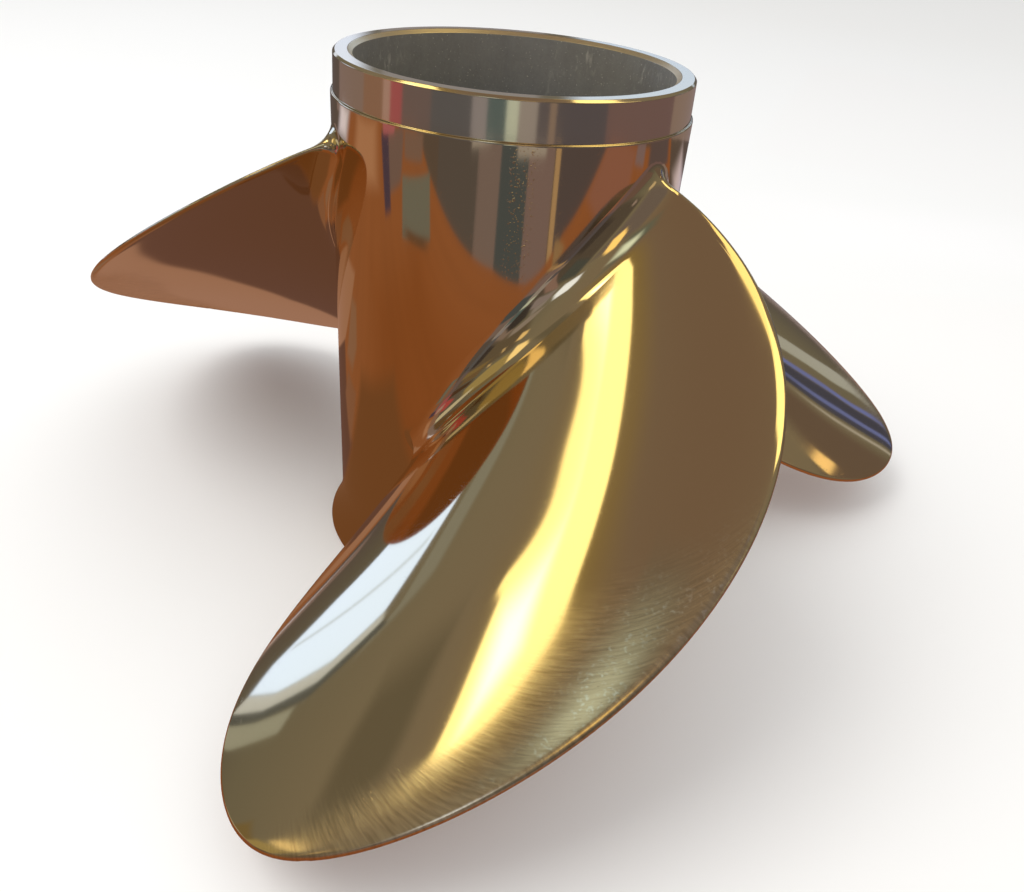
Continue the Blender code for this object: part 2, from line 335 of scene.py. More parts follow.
def sleeve_brass():
    """Broached brass: yellower than the casting, with fine lines along the cut."""
    finish, start = new_finish("sleeve brass", Metallic=1.0)
    place = start.node("TexCoord", {}, {}, output="Object")
    lines = place.stretched((3200.0, 3200.0, 60.0)).noise(1.0, 2.0, 0.6)
    stain = place.noise(110.0, 3.0, 0.6).step(0.45, 0.75)
    colour = (stain * 0.5 + lines * 0.2).tint(BRASS_CLEAN, BRASS_STAINED)
    rough = 0.22 + 0.14 * lines + 0.12 * stain
    return wear(finish, Base_Color=colour, Roughness=rough, Normal=lines.bump(0.000008))


def mesh_object(name, bm, finishes):
    """Turn a finished bmesh into an object of the scene."""
    mesh = bpy.data.meshes.new(name)
    bm.to_mesh(mesh)
    bm.free()
    for finish in finishes:
        mesh.materials.append(finish)
    made = bpy.data.objects.new(name, mesh)
    bpy.context.scene.collection.objects.link(made)
    return made


def close_mesh(name, bm, finishes, slot, *nodes):
    """Lower a finished mesh onto the frame, shade it and let it stand for its CAD nodes."""
    bmesh.ops.translate(bm, verts=bm.verts, vec=(0, 0, AFT_LIP))
    bmesh.ops.recalc_face_normals(bm, faces=bm.faces)
    piece = mesh_object(name, bm, finishes)
    piece.data.shade_smooth()
    piece.data.set_sharp_from_angle(angle=radians(SHARP_ANGLE))
    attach(piece, "root")
    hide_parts(*nodes)


def rounded(corners, support=0.0002):
    """Closed outline with each (x, y, rounding) corner turned into an arc.

    A point just before and after each arc keeps the flats beside it flat when they are shaded.
    """
    points = []
    for index, (x, y, rounding) in enumerate(corners):
        here = Vector((x, y))
        before = Vector(corners[index - 1][:2])
        after = Vector(corners[(index + 1) % len(corners)][:2])
        if rounding == 0:
            points.append(here)
            continue
        back = (before - here).normalized()
        ahead = (after - here).normalized()
        half_angle = back.angle(ahead) / 2
        reach = rounding / tan(half_angle)
        centre = here + (back + ahead).normalized() * rounding / sin(half_angle)
        start = here + back * reach - centre
        sweep = start.angle_signed(here + ahead * reach - centre)
        points.append(here + back * (reach + support))
        for step in range(ARC_STEPS + 1):
            points.append(centre + Matrix.Rotation(-sweep * step / ARC_STEPS, 2) @ start)
        points.append(here + ahead * (reach + support))
    return points


def spun(profile, steps):
    """Spin a closed (radius, height) outline about the shaft."""
    bm = bmesh.new()
    corners = [bm.verts.new((radius, 0, height)) for radius, height in profile]
    edges = [bm.edges.new(pair) for pair in zip(corners, corners[1:] + corners[:1])]
    bmesh.ops.spin(bm, geom=corners + edges, axis=(0, 0, 1), cent=(0, 0, 0),
                   angle=2 * pi, steps=steps, use_merge=True)
    return bm


def barrel_radius(height):
    """Outside radius of the tapered barrel."""
    return SHOULDER_RADIUS - TAPER * (SHOULDER - height)


def bore_radius(height):
    """Radius of the rough bore, which narrows towards the aft end."""
    along = (height - FLARE_TOP) / (LENGTH - BEVEL_DEPTH - FLARE_TOP)
    return BORE_AFT_RADIUS + (BORE_FRONT_RADIUS - BORE_AFT_RADIUS) * along


def flare_outline(height):
    """Outside and inside radius of the flare, which opens in a hollow curve towards the lip."""
    opened = (1 - height / FLARE_TOP) ** 2
    wall = barrel_radius(FLARE_TOP) - BORE_AFT_RADIUS
    outside = barrel_radius(FLARE_TOP) + (FLARE_RADIUS - barrel_radius(FLARE_TOP)) * opened
    return outside, outside - wall - (LIP_THICKNESS - wall) * opened


def make_barrel(polished, turned, cast):
    """Exhaust tube and flare in one casting, with its machined mouth."""
    corners = [
        (FACE_OUTER_RADIUS, LENGTH, CORNER_ROUND),
        (BAND_RADIUS, LENGTH - CHAMFER, CORNER_ROUND),
        (BAND_RADIUS, SHOULDER, CORNER_ROUND),
        (SHOULDER_RADIUS, SHOULDER, SHOULDER_ROUND),
    ]
    for row in range(1, BARREL_ROWS + 1):
        height = SHOULDER - (SHOULDER - FLARE_TOP) * row / BARREL_ROWS
        corners.append((barrel_radius(height), height, 0))
    flare_heights = [FLARE_TOP * (1 - row / FLARE_ROWS) for row in range(1, FLARE_ROWS)]
    corners += [(flare_outline(height)[0], height, 0) for height in flare_heights]
    lip_outside, lip_inside = flare_outline(0)
    corners += [(lip_outside, 0, LIP_ROUND), (lip_inside, 0, CORNER_ROUND)]
    corners += [(flare_outline(height)[1], height, 0) for height in reversed(flare_heights)]
    for row in range(BARREL_ROWS):
        height = FLARE_TOP + (LENGTH - BEVEL_DEPTH - FLARE_TOP) * row / BARREL_ROWS
        corners.append((bore_radius(height), height, 0))
    corners += [
        (BORE_FRONT_RADIUS, LENGTH - BEVEL_DEPTH, CORNER_ROUND),
        (FACE_INNER_RADIUS, LENGTH, CORNER_ROUND),
    ]
    bm = spun(rounded(corners), TURN_STEPS)
    polish = bm.loops.layers.uv.new("polish")
    for face in bm.faces:
        middle = face.calc_center_median()
        across = hypot(middle.x, middle.y)
        if middle.z > SHOULDER + CORNER_ROUND and across > BORE_FRONT_RADIUS:
            face.material_index = 1
        elif across < flare_outline(max(0, min(middle.z, FLARE_TOP)))[1] + CORNER_ROUND / 2:
            face.material_index = 2
        elif middle.z > FLARE_TOP and across < BORE_FRONT_RADIUS + CORNER_ROUND / 2:
            face.material_index = 2
        turn = atan2(middle.y, middle.x)
        for corner in face.loops:
            here = corner.vert.co
            swing = (atan2(here.y, here.x) - turn + pi) % (2 * pi) - pi
            corner[polish].uv = (SHOULDER_RADIUS * (turn + swing), here.z)
    close_mesh("barrel_casting", bm, (polished, turned, cast), "polished_bronze",
               "barrel", "flare_ring")


def at_height(stations, along):
    """Smooth curve through four values read at 0, 1/3, 2/3 and 1 of the blade's height."""
    total = 0.0
    for index, value in enumerate(stations):
        weight = 1.0
        for other in range(4):
            if other != index:
                weight *= (3 * along - other) / (index - other)
        total += value * weight
    return total


def on_cylinder(radius, angle, height):
    """Point at a radius and an angle about the shaft."""
    return Vector((radius * cos(angle), radius * sin(angle), height))


def half_width(along):
    """Half of the angle that the blade takes up about the shaft, in radians."""
    return radians(at_height(HALF_WIDTH_ANGLE, along)) * sqrt(1 - along ** OUTLINE_POWER)


def half_chord(along):
    """Half of the blade's length about the shaft, in metres."""
    edge = TIP_RADIUS - EDGE_THICKNESS / 2
    return half_width(along) * (SHOULDER_RADIUS + along * (edge - SHOULDER_RADIUS))


def midsurface(rise, chordwise):
    """Point on the blade's middle surface.

    rise runs from the root, 0, to the tip, 1, slowing down towards the tip. chordwise runs from the
    trailing edge, -1, to the leading edge, 1. The surface is a helix of the stated pitch, arched
    towards its forward side.
    """
    along = 1 - (1 - rise) ** 2
    angle = radians(at_height(MIDLINE_ANGLE, along)) + chordwise * half_width(along)
    edge = TIP_RADIUS - EDGE_THICKNESS / 2
    helix = at_height(PITCH, along) / (2 * pi) * (angle - radians(MIDLINE_ANGLE[0]))
    arch = CAMBER * (1 - chordwise ** 2) * 2 * half_chord(along)
    height = at_height(MIDLINE_HEIGHT, along) + helix + arch
    root = barrel_radius(height) + FOOT_LIFT
    return on_cylinder(root + along * (edge - root), angle - pi / 2, height)


def fillet(above, radius):
    """How far a root fillet stands out from the blade at a height above the barrel."""
    down = radius - above
    return radius - sqrt(radius ** 2 - down ** 2) if down > 0 else 0.0


def hollow(chordwise, outward):
    """Depth of the grinding hollows at a place on the blade."""
    depth = 0.0
    for across, out, deepest, reach in HOLLOWS:
        away = ((chordwise - across) ** 2 + (outward - out) ** 2) / (2 * reach ** 2)
        depth += deepest * exp(-away)
    return depth


@lru_cache(maxsize=None)
def blade_directions(rise, chordwise, at_tip):
    """Directions square to the middle surface and outwards from its outline."""
    inner_rise = min(max(rise, READING_STEP), 1 - 2 * READING_STEP)
    inner_chord = min(max(chordwise, READING_STEP - 1), 1 - READING_STEP)
    chord_line = (midsurface(inner_rise, inner_chord + READING_STEP)
                  - midsurface(inner_rise, inner_chord - READING_STEP))
    rise_line = (midsurface(inner_rise + READING_STEP, chordwise)
                 - midsurface(inner_rise - READING_STEP, chordwise))
    normal = chord_line.cross(rise_line).normalized()
    if at_tip:
        outward = chord_line.cross(normal).normalized()
        outward *= 1 if outward.dot(rise_line) > 0 else -1
    else:
        outward = normal.cross(rise_line).normalized()
        outward *= 1 if outward.dot(chord_line) * chordwise > 0 else -1
    return midsurface(rise, chordwise), normal, outward


def skin_point(rise, chordwise, side, at_tip):
    """Point on the blade's skin; side runs from the pressure side, -1, to the suction side, 1.

    The thickness is laid off square to the middle surface, and the outline is rounded outwards from
    it. Close to the root both follow the barrel, so that the fillet runs out on it.
    """
    along = 1 - (1 - rise) ** 2
    stretch = 1.0
    place = chordwise
    if chordwise > 0:
        stretch += NOSE_STRETCH * (1 - along ** 8)
        place *= 1 - min(0.5, (stretch - 1) * EDGE_THICKNESS / 2 / half_chord(along))
    middle, normal, outward = blade_directions(rise, place, at_tip)
    above = along * (TIP_RADIUS - EDGE_THICKNESS / 2 - SHOULDER_RADIUS)
    thickest = ROOT_THICKNESS + (EDGE_THICKNESS - ROOT_THICKNESS) * along ** THINNING_POWER
    fullness = max(0.0, 1 - chordwise ** 2) ** FULLNESS_POWER
    half = (EDGE_THICKNESS + (thickest - EDGE_THICKNESS) * fullness) / 2
    half -= hollow(chordwise * half_chord(along), above) * fullness
    rounded_edge = at_tip or abs(chordwise) == 1
    turn = side * pi / 2
    thick_share, out_share = (sin(turn), cos(turn)) if rounded_edge else (side, 0.0)
    body = half * (thick_share * normal + stretch * out_share * outward)
    radial = Vector((middle.x, middle.y, 0)).normalized()
    around = Vector((0, 0, 1)).cross(radial)
    foot = (fillet(above, SIDE_FILLET) * thick_share * normal
            + fillet(above, EDGE_FILLET) * out_share * outward)
    foot -= foot.dot(radial) * radial
    near = min(1.0, above / FOLLOW_HEIGHT)
    move = body + foot
    radius = hypot(middle.x, middle.y)
    angle = atan2(middle.y, middle.x) + move.dot(around) / radius
    height = middle.z + move.z
    follow = barrel_radius(height) - barrel_radius(middle.z)
    radius += near * body.dot(radial) + (1 - near) * follow
    return on_cylinder(radius, angle, height)


def make_blades(polished):
    """Blades grown from their seats on the barrel by extruding one section after another."""
    bm = bmesh.new()
    bmesh.ops.create_grid(bm, x_segments=CHORD_STEPS, y_segments=EDGE_STEPS, size=1)
    chord_place = bm.verts.layers.float.new("chord_place")
    side_place = bm.verts.layers.float.new("side_place")
    rise_place = bm.verts.layers.float.new("rise_place")
    for vert in bm.verts:
        vert[chord_place] = sin(vert.co.x * pi / 2)
        vert[side_place] = vert.co.y

    def place(verts, rise, at_tip=False):
        for vert in verts:
            chordwise = round(vert[chord_place], 5)
            vert[rise_place] = rise
            vert.co = skin_point(rise, chordwise, vert[side_place], at_tip)

    span = TIP_RADIUS - EDGE_THICKNESS / 2 - SHOULDER_RADIUS
    heights = [SIDE_FILLET * (1 - cos(pi / 2 * row / FILLET_STEPS))
               for row in range(1, FILLET_STEPS + 1)]
    rises = [0.0] + [1 - sqrt(1 - height / span) for height in heights]
    above_fillet = rises[-1]
    for row in range(1, SPAN_STEPS + 1):
        rises.append(above_fillet + (LAST_RISE - above_fillet) * row / SPAN_STEPS)
    place(bm.verts, 0.0)
    seat = list(bm.faces)
    cap = seat
    for rise in rises[1:]:
        grown = bmesh.ops.extrude_face_region(bm, geom=cap)["geom"]
        if cap is not seat:
            bmesh.ops.delete(bm, geom=cap, context="FACES")
        cap = [part for part in grown if isinstance(part, bmesh.types.BMFace)]
        verts = [part for part in grown if isinstance(part, bmesh.types.BMVert)]
        place(verts, rise, at_tip=rise == rises[-1])
    polish = bm.loops.layers.uv.new("polish")
    for face in bm.faces:
        for corner in face.loops:
            along = 1 - (1 - corner.vert[rise_place]) ** 2
            corner[polish].uv = (corner.vert[chord_place] * half_chord(along), along * span)
    for number in range(BLADES):
        turned = bm.copy()
        turn = Matrix.Rotation(2 * pi * number / BLADES, 3, "Z")
        bmesh.ops.rotate(turned, verts=turned.verts, matrix=turn)
        close_mesh(f"polished_blade_{number + 1}", turned, (polished,), "polished_bronze",
                   f"blade_{number + 1}")
    bm.free()


def make_camera():
    """Camera at the photograph's place, angle and lens."""
    camera = bpy.data.cameras.new("photo_view")
    camera.sensor_width = SENSOR_WIDTH
    camera.lens = FOCAL_PIXELS / IMAGE_WIDTH * SENSOR_WIDTH
    camera.clip_start = 0.01
    ahead = Vector((sin(CAMERA_TURN) * cos(CAMERA_PITCH), cos(CAMERA_TURN) * cos(CAMERA_PITCH),
                    -sin(CAMERA_PITCH)))
    right = Vector((cos(CAMERA_TURN), -sin(CAMERA_TURN), 0))
    upward = right.cross(ahead)
    rolled_right = cos(CAMERA_ROLL) * right + sin(CAMERA_ROLL) * upward
    rolled_up = cos(CAMERA_ROLL) * upward - sin(CAMERA_ROLL) * right
    view = bpy.data.objects.new("photo_view", camera)
    bpy.context.scene.collection.objects.link(view)
    place = Matrix((rolled_right, rolled_up, -ahead)).transposed().to_4x4()
    place.translation = (0, -CAMERA_DISTANCE, AFT_LIP + LENGTH + CAMERA_ABOVE_MOUTH)
    view.matrix_world = place
    bpy.context.scene.camera = view


def glow(name, colour, grain):
    """Finish of a card: light that fades out towards the edges; grain adds long soft streaks."""
    light = bpy.data.materials.new(name)
    light.use_nodes = True
    tree = light.node_tree
    tree.nodes.clear()
    start = Wire(tree)
    edge = start.node("UVMap", {"uv_map": "card"}, {})
    inward = start.node("SeparateXYZ", {}, {"Vector": edge}, output="X")
    place = start.node("TexCoord", {}, {}, output="Object")
    streaks = place.stretched((2.0, 24.0, 1.0)).noise(1.0, 3.0, 0.6)
    strength = 1 + (streaks - 0.5) * (2 * grain)
    emission = start.node("Emission", {}, {"Color": colour, "Strength": strength})
    clear = start.node("BsdfTransparent", {}, {})
    output = tree.nodes.new("ShaderNodeOutputMaterial")
    both = start.node("MixShader", {}, {0: inward.step(0.0, 1.0), 1: clear, 2: emission})
    tree.links.new(both.socket, output.inputs["Surface"])
    return light


def seen_in_metal_only(piece):
    """Stage piece that shows as a reflection and nowhere else."""
    piece.visible_camera = False
    piece.visible_diffuse = False
    piece.visible_shadow = False
    piece.visible_transmission = False


def card(name, corners, colour, soft, grain=0.0):
    """Glowing card; corners go round it, and soft is the share of it that fades out."""
    bm = bmesh.new()
    face = bm.faces.new([bm.verts.new(corner) for corner in corners])
    edge = bm.loops.layers.uv.new("card")
    middle = face.calc_center_median()
    if soft:
        fan = bmesh.ops.inset_individual(bm, faces=[face], thickness=0, use_even_offset=False)
        inner = set(face.verts)
        for vert in inner:
            vert.co = middle + (vert.co - middle) * (1 - soft)
        for part in fan["faces"]:
            for corner in part.loops:
                corner[edge].uv = (1.0 if corner.vert in inner else 0.0, 0.0)
    for corner in face.loops:
        corner[edge].uv = (1.0, 0.0)
    seen_in_metal_only(mesh_object(name, bm, [glow(name, colour, grain)]))


def sky_card(name, spots, colour, soft, distance=CARD_DISTANCE):
    """Card hung round the propeller; spots are (azimuth, elevation) corners in degrees."""
    corners = []
    for azimuth, elevation in spots:
        level = cos(radians(elevation))
        corners.append(distance * Vector((sin(radians(azimuth)) * level,
                                          cos(radians(azimuth)) * level,
                                          sin(radians(elevation)))))
    card(name, corners, colour, soft)


def ground_card(name, spots, colour, layer, soft, grain=0.0):
    """Card laid round the propeller's foot; spots are its (x, y) corners in metres."""
    height = AFT_LIP + layer * LAYER_HEIGHT
    card(name, [Vector((x, y, height)) for x, y in spots], colour, soft, grain)


def ground_sector(name, azimuths, ring, colour, layer):
    """Cards laid side by side between two azimuths, in degrees, and a ring's two radii."""
    start, end = azimuths
    steps = max(1, round(abs(end - start) / SECTOR_ANGLE))
    near, far = ring
    for step in range(steps):
        left, right = (radians(start + (end - start) * (step + more) / steps) for more in (0, 1))
        spots = [(radius * sin(turn), radius * cos(turn))
                 for radius, turn in ((near, left), (near, right), (far, right), (far, left))]
        ground_card(f"{name}_{step + 1}", spots, colour, layer, 0.0)


def make_floor():
    """Plain pale floor, which the metal doesn't mirror."""
    bm = bmesh.new()
    bmesh.ops.create_grid(bm, x_segments=8, y_segments=8, size=FLOOR_REACH)
    bmesh.ops.translate(bm, verts=bm.verts, vec=(0, 0, AFT_LIP))
    pale, _ = new_finish("pale floor", Base_Color=(0.86, 0.86, 0.85, 1), Roughness=0.7)
    floor = mesh_object("floor", bm, [pale])
    floor.visible_glossy = False


def make_world():
    """White room for the floor and rough pieces; a warm one, tan overhead, for the metal."""
    world = bpy.data.worlds.new("studio")
    bpy.context.scene.world = world
    world.use_nodes = True
    tree = world.node_tree
    tree.nodes.clear()
    start = Wire(tree)
    direction = start.node("TexCoord", {}, {}, output="Generated")
    height = start.node("SeparateXYZ", {}, {"Vector": direction}, output="Z")
    warm = start.node("ValToRGB", {"stops": [
        (0.0, (0.12, 0.075, 0.05)),
        (1.0, (0.195, 0.138, 0.107)),
        (0.46, (0.11, 0.09, 0.09)),
        (0.54, (0.13, 0.12, 0.105)),
        (0.62, (0.17, 0.16, 0.13)),
        (0.76, (0.215, 0.19, 0.15)),
        (0.90, (0.225, 0.185, 0.145)),
    ]}, {"Fac": height * 0.5 + 0.5})
    white_light = start.node("Background", {}, {"Color": (1.0, 1.0, 1.0), "Strength": 0.95})
    warm_light = start.node("Background", {}, {"Color": warm, "Strength": 1.0})
    in_metal = start.node("LightPath", {}, {}, output="Is Glossy Ray")
    output = tree.nodes.new("ShaderNodeOutputWorld")
    both = start.node("MixShader", {}, {0: in_metal, 1: white_light, 2: warm_light})
    tree.links.new(both.socket, output.inputs["Surface"])


def make_key_light():
    """Soft light over the viewer's left shoulder, which the metal doesn't mirror."""
    key = bpy.data.lights.new("soft_key", "AREA")
    key.energy = 22
    key.size = 1.4
    key.color = (1.0, 0.98, 0.95)
    lamp = bpy.data.objects.new("soft_key", key)
    bpy.context.scene.collection.objects.link(lamp)
    lamp.location = KEY_PLACE
    lamp.rotation_euler = (-KEY_PLACE).to_track_quat("-Z", "Y").to_euler()
    lamp.visible_glossy = False


def hang_lamps():
    """Warm lamps for the near blade's streak and outer edge, pale ones overhead, and a wall."""
    sky_card("streak_lamp", [(-78.2, 62.4), (-109.5, 61.6), (-113, 57), (-112.8, 52), (-111, 48.8),
                             (-108, 46.7), (-105, 46.2), (-81, 46.4), (-79, 45), (-77.8, 45.3),
                             (-77.6, 49)], (2.0, 1.68, 0.82), 0.04)
    sky_card("streak_core", [(-104, 57), (-110, 47.5), (-80, 45.8), (-80, 55)],
             (3.0, 2.9, 2.3), 0.9, 1.7)
    sky_card("streak_halo", [(-136, 68), (-136, 40), (-68, 38), (-68, 70)],
             (0.26, 0.19, 0.075), 0.9, 4.0)
    sky_card("edge_lamp", [(80, 36), (98, 36), (110, 50), (113, 67), (98, 70), (82, 69)],
             (1.9, 1.6, 0.75), 0.15)
    sky_card("edge_lamp_top", [(98, 68), (97, 78.5), (88, 79.5), (72, 76), (56, 66), (46, 57),
                               (60, 50), (80, 60)], (1.7, 1.35, 0.6), 0.1)
    sky_card("pale_top_lamp", [(-177, 49), (-152, 48), (-134, 62), (-150, 69), (-174, 66)],
             (0.85, 1.0, 0.95), 0.8)
    sky_card("pale_top_haze", [(-190, 44), (-130, 44), (-115, 76), (-190, 76)],
             (0.13, 0.16, 0.15), 0.9, 5.0)
    sky_card("right_gold_lamp", [(75.5, 26), (81.5, 28.5), (81.5, 30.5), (76.5, 28.3)],
             (1.3, 0.92, 0.42), 0.15)
    sky_card("right_brown_wall", [(60, 2), (90, 2), (90, 33), (62, 33)],
             (0.15, 0.113, 0.098), 0.25, 4.0)


def hang_windows():
    """Windows to the left and behind, the wall between them and uprights for the right blade."""
    sky_card("window_box", [(-60, 3), (-56.5, 2.5), (-52, 4.5), (-49, 8), (-47, 14), (-56, 22),
                            (-64, 21.5), (-65, 17), (-63, 9)], (1.0, 1.34, 2.2), 0.03)
    sky_card("window_bar", [(-56.2, 4), (-55.7, 4), (-58.7, 20.5), (-59.2, 20.5)], (0.7, 0.9, 1.35),
             0.0, 1.75)
    sky_card("window_haze", [(-66.5, 24), (-68.5, 21), (-66, 29), (-57, 29), (-55.5, 23)],
             (0.26, 0.27, 0.26), 0.4, 1.85)
    sky_card("left_olive_shade", [(-102, 29), (-68, 29), (-70, 40), (-102, 42)],
             (0.145, 0.128, 0.098), 0.5, 4.8)
    sky_card("window_line", [(-60, 3), (-63, 9), (-65, 17), (-64, 21.5), (-65.3, 22.5), (-66.6, 17),
                             (-64.6, 9), (-61.5, 2)], (0.62, 0.70, 0.85), 0.0)
    sky_card("window_frame", [(-61.5, 2), (-64.6, 9), (-66.6, 17), (-65.3, 22.5), (-66.5, 24),
                              (-68, 17), (-65.8, 9), (-62.5, 1)], (0.10, 0.11, 0.12), 0.0)
    sky_card("window_sill", [(-62.5, 1), (-65.8, 9), (-68, 16), (-70.5, 16), (-68, 7), (-65, 0)],
             (0.36, 0.39, 0.38), 0.1)
    sky_card("left_back_window", [(-34, 8), (-9, 8), (-9, 27), (-34, 27)], (0.84, 0.97, 1.28), 0.15)
    sky_card("back_wall", [(-9, 6), (2, 6), (2, 27), (-9, 27)], (0.28, 0.27, 0.29), 0.1)
    sky_card("right_back_window", [(3, 9), (32, 9), (32, 27), (3, 27)], (0.68, 0.84, 1.12), 0.15)
    sky_card("cream_strip", [(44, 4), (48.5, 4), (51, 24), (46.5, 24)], (0.42, 0.46, 0.50), 0.15)
    sky_card("blue_strip", [(51.5, 4), (53, 4), (55, 24), (53.5, 24)], (0.17, 0.22, 0.66), 0.3)
    sky_card("navy_strip", [(53, 4), (59, 4), (61, 24), (55, 24)], (0.065, 0.07, 0.12), 0.05, 1.85)
    sky_card("blue_line", [(56, 4), (57.5, 4), (59.5, 24), (58, 24)], (0.17, 0.22, 0.62), 0.5, 1.8)
    sky_card("cream_line", [(59.8, 4), (60.7, 4), (62.7, 24), (61.8, 24)],
             (0.5, 0.5, 0.52), 0.4, 1.8)


def lay_table():
    """Brown table top round the foot, with the things on it that the metal mirrors."""
    ground_card("table", [(-0.70, -0.378), (-0.03, -0.36), (0.095, -0.328), (0.15, -0.33),
                          (0.25, -0.347), (0.66, -0.325), (0.66, 0.30), (-0.70, 0.30)],
                (0.29, 0.112, 0.048), 0, 0.01, 0.12)
    ground_card("table_centre", [(-0.40, -0.33), (0.09, -0.325), (0.05, 0.05), (-0.40, 0.05)],
                (0.255, 0.088, 0.030), 1, 0.8, 0.12)
    ground_card("table_left", [(-0.70, -0.09), (-0.45, -0.09), (-0.45, 0.22), (-0.70, 0.22)],
                (0.43, 0.225, 0.145), 1, 0.6)
    ground_card("table_right", [(0.36, -0.35), (0.66, -0.35), (0.66, -0.08), (0.36, -0.08)],
                (0.28, 0.130, 0.105), 1, 0.3)
    ground_card("foot_shade", [(-0.20, -0.10), (0.10, -0.12), (0.10, 0.02), (-0.13, 0.025),
                               (-0.20, 0.02)], (0.188, 0.080, 0.034), 2, 0.3)
    ground_card("blade_shade", [(-0.11, 0.01), (0.10, 0.0), (0.10, 0.16), (-0.12, 0.16),
                                (-0.20, 0.13), (-0.145, 0.065)], (0.140, 0.068, 0.050), 3, 0.14)
    ground_card("under_brown", [(-0.26, 0.06), (-0.20, 0.035), (-0.16, 0.045), (-0.16, 0.085),
                                (-0.26, 0.1)], (0.27, 0.145, 0.095), 3, 0.4)
    ground_card("under_warm", [(-0.158, 0.02), (-0.095, 0.012), (-0.125, 0.068), (-0.162, 0.07)],
                (0.25, 0.118, 0.07), 4, 0.4)
    ground_card("pale_table", [(-0.30, 0.08), (-0.175, 0.097), (-0.145, 0.114), (-0.11, 0.13),
                               (-0.02, 0.14), (-0.02, 0.26), (-0.30, 0.24)],
                (0.365, 0.192, 0.128), 5, 0.14)
    ground_card("left_glare", [(-0.68, 0.25), (-0.50, 0.25), (-0.40, 0.45), (-0.62, 0.50)],
                (0.75, 0.72, 0.95), 3, 0.8)
    ground_card("right_glare", [(0.15, 0.35), (0.52, 0.30), (0.52, 0.52), (0.15, 0.55)],
                (0.60, 0.52, 0.62), 3, 0.8)
    ground_card("right_grey", [(0.58, -0.10), (0.68, -0.10), (0.68, 0.0), (0.58, 0.0)],
                (0.22, 0.16, 0.20), 3, 0.4)
    ground_card("right_brown", [(0.56, 0.02), (0.70, 0.02), (0.68, 0.28), (0.54, 0.28)],
                (0.115, 0.088, 0.105), 3, 0.3)
    ground_card("block", [(-0.47, -0.22), (-0.38, -0.373), (-0.265, -0.285), (-0.345, -0.175)],
                (0.166, 0.172, 0.168), 3, 0.08)
    ground_card("block_foot", [(-0.36, -0.165), (-0.245, -0.275), (-0.265, -0.30), (-0.37, -0.19)],
                (0.14, 0.075, 0.045), 4, 0.7)
    ground_card("navy_strip_low", [(-0.64, -0.085), (-0.40, -0.095), (-0.40, -0.135), (-0.62, -0.155)],
                (0.075, 0.055, 0.10), 3, 0.25)
    ground_card("clutter", [(-0.64, -0.13), (-0.44, -0.12), (-0.44, -0.21), (-0.60, -0.30)],
                (0.18, 0.125, 0.13), 2, 0.3)
    ground_card("clutter_red", [(-0.66, -0.10), (-0.61, -0.10), (-0.59, -0.20), (-0.64, -0.24)],
                (0.42, 0.14, 0.19), 4, 0.2)
    ground_card("clutter_low", [(-0.60, -0.27), (-0.50, -0.24), (-0.42, -0.35), (-0.50, -0.42)],
                (0.205, 0.135, 0.125), 2, 0.3)


